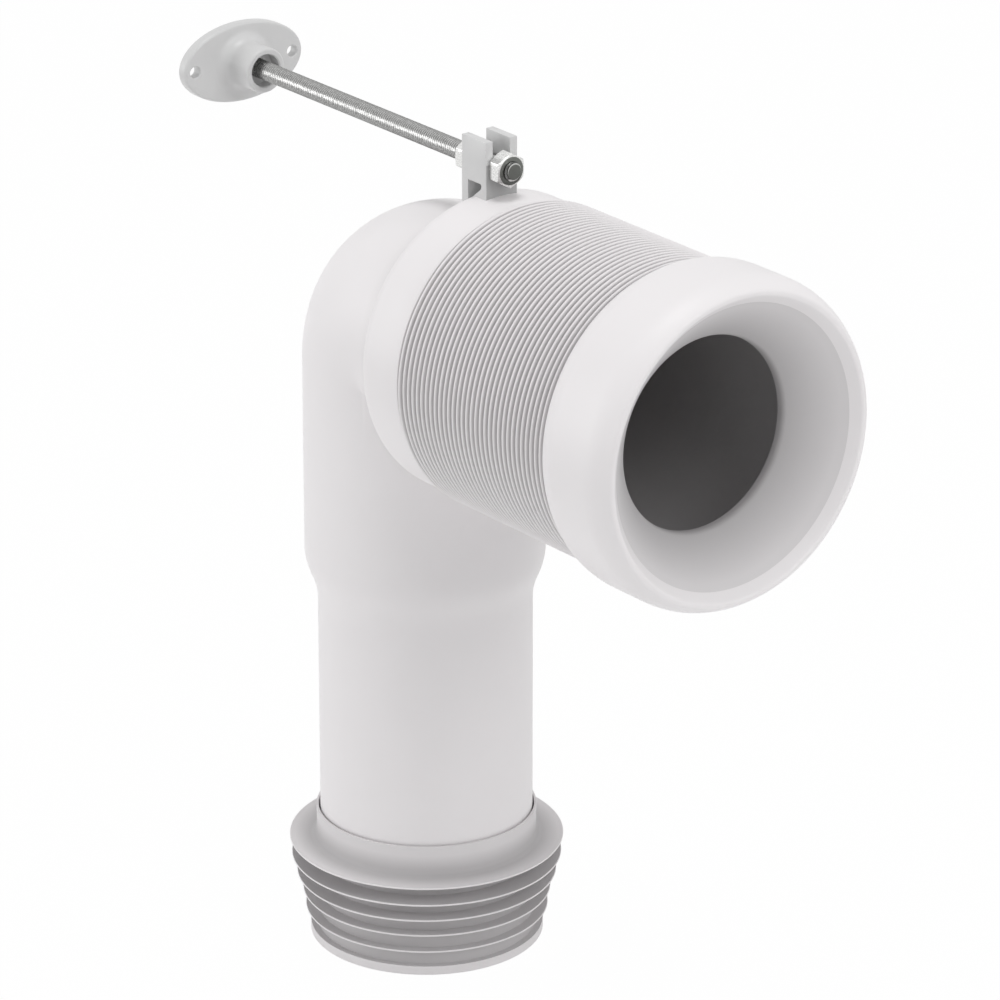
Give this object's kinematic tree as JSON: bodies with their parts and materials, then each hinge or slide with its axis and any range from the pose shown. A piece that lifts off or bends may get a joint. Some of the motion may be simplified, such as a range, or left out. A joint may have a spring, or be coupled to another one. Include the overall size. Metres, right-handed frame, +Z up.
{
  "type": "toilet pan connector",
  "caption": "White toilet pan connector: finned soil-pipe spigot, tight elbow, extendable pleated sleeve, cuff with a lip seal, and a threaded stay with a wall flange.",
  "frame": {"origin": "on the axis of the soil-pipe spigot, at the middle of the widest sealing fin", "axes": "+Z up along the spigot, +X along the arm towards the toilet pan, the wall flange on the -X side, Y level across the arm"},
  "size_m": [0.3333, 0.1376, 0.3718],
  "materials": {
    "white_moulding": "satin white moulded plastic",
    "pleated_sleeve": "pale grey-white flexible plastic, dark grey inside",
    "grey_rubber": "pale grey matt rubber",
    "plated_steel": "bright zinc-plated steel"
  },
  "bodies": {
    "connector": {"bend": "white_moulding", "finned_seal": "grey_rubber", "bellows": "pleated_sleeve"},
    "cuff": {"pan_cuff": "white_moulding", "lip_seal": "grey_rubber"},
    "stay": {"threaded_rod": "plated_steel"},
    "flange": {"wall_flange": "white_moulding"},
    "front_nut": {"front_nut": "plated_steel"},
    "rear_nut": {"rear_nut": "plated_steel"}
  },
  "joints": [
    {"name": "bellows_stretch", "type": "slide", "parent": "connector", "child": "cuff", "axis": [1, 0, 0], "range_m": [0, 0.1], "deforming": ["bellows"]},
    {"name": "rod_adjust", "type": "slide", "parent": "connector", "child": "stay", "axis": [1, 0, 0], "range_m": [0, 0.11]},
    {"name": "flange_turn", "type": "hinge", "parent": "stay", "child": "flange", "pos_m": [-0.1, 0, 0.3189], "axis": [1, 0, 0], "continuous": true},
    {"name": "front_nut_turn", "type": "hinge", "parent": "connector", "child": "front_nut", "pos_m": [0.0554, 0, 0.3189], "axis": [1, 0, 0], "continuous": true},
    {"name": "rear_nut_turn", "type": "hinge", "parent": "connector", "child": "rear_nut", "pos_m": [0.033, 0, 0.3189], "axis": [1, 0, 0], "continuous": true}
  ]
}
